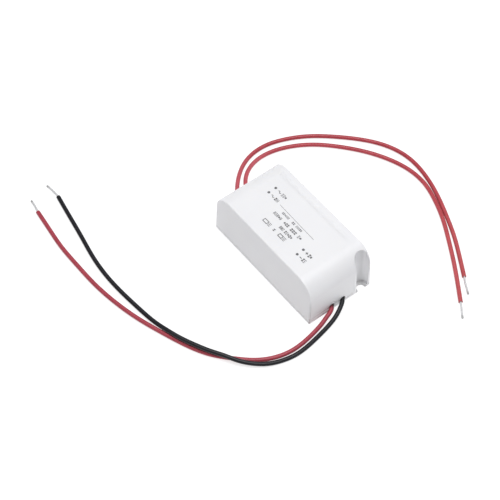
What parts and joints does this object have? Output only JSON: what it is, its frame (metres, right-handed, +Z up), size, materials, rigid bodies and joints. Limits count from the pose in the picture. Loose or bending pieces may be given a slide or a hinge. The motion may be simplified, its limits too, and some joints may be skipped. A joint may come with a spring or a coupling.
{
  "type": "enclosed power supply module",
  "caption": "Small mains power supply module in a white plastic case with rounded ends, a screw pocket at one corner, two red input leads and a red and black output pair.",
  "frame": {"origin": "middle of the case's underside, on the surface that it stands on", "axes": "+X along the case towards the output leads, +Y across it towards the side with the screw pocket, +Z up"},
  "size_m": [0.1553, 0.1427, 0.0225],
  "materials": {
    "white_plastic": "fine satin mould finish, slightly translucent",
    "ink": "thin grey pad print",
    "board_laminate": "bare paper laminate",
    "copper": "thin copper foil under clear lacquer",
    "solder": "bright soft solder",
    "red_insulation": "smooth soft PVC",
    "black_insulation": "smooth soft PVC",
    "tinned_wire": "tinned copper strands",
    "green_coating": "flameproof lacquer",
    "black_epoxy": "moulded epoxy",
    "dark_sleeve": "shrunk sleeve",
    "green_sleeve": "shrunk sleeve",
    "ferrite": "ground dark ferrite",
    "enamelled_copper": "enamelled copper wire",
    "black_moulding": "phenolic moulding",
    "yellow_tape": "polyester tape",
    "brown_coating": "dipped lacquer",
    "tan_coating": "painted lacquer",
    "pale_epoxy": "white moulded epoxy",
    "blue_coating": "dipped lacquer",
    "chip_glaze": "glazed top, tinned ends",
    "chip_ceramic": "bare ceramic, tinned ends"
  },
  "bodies": {
    "root": {"housing": "white_plastic", "base_plate": "white_plastic", "circuit_board": "board_laminate", "copper_tracks": "copper", "solder_joints": "solder", "output_lead_red": "red_insulation", "output_lead_black": "black_insulation", "input_lead_outer": "red_insulation", "input_lead_inner": "red_insulation", "output_tip_red": "tinned_wire", "output_tip_black": "tinned_wire", "input_tip_outer": "tinned_wire", "input_tip_inner": "tinned_wire", "lead_tails": "tinned_wire", "fusible_resistor": "green_coating", "bridge_rectifier": "black_epoxy", "input_capacitor_1": "dark_sleeve", "input_capacitor_2": "dark_sleeve", "filter_choke_core": "ferrite", "filter_choke_winding": "enamelled_copper", "controller_chip": "black_epoxy", "snubber_diode": "black_epoxy", "snubber_capacitor": "brown_coating", "snubber_resistor": "tan_coating", "supply_capacitor": "dark_sleeve", "transformer_core_a": "ferrite", "transformer_core_b": "ferrite", "transformer_bobbin": "black_moulding", "transformer_pins": "tinned_wire", "transformer_winding": "enamelled_copper", "winding_tape": "yellow_tape", "core_tape": "yellow_tape", "optocoupler": "pale_epoxy", "safety_capacitor": "blue_coating", "output_diode": "black_epoxy", "output_capacitor_1": "green_sleeve", "output_capacitor_2": "green_sleeve", "bleed_resistor": "tan_coating", "chip_resistors": "chip_glaze", "chip_capacitors": "chip_ceramic"}
  },
  "joints": []
}
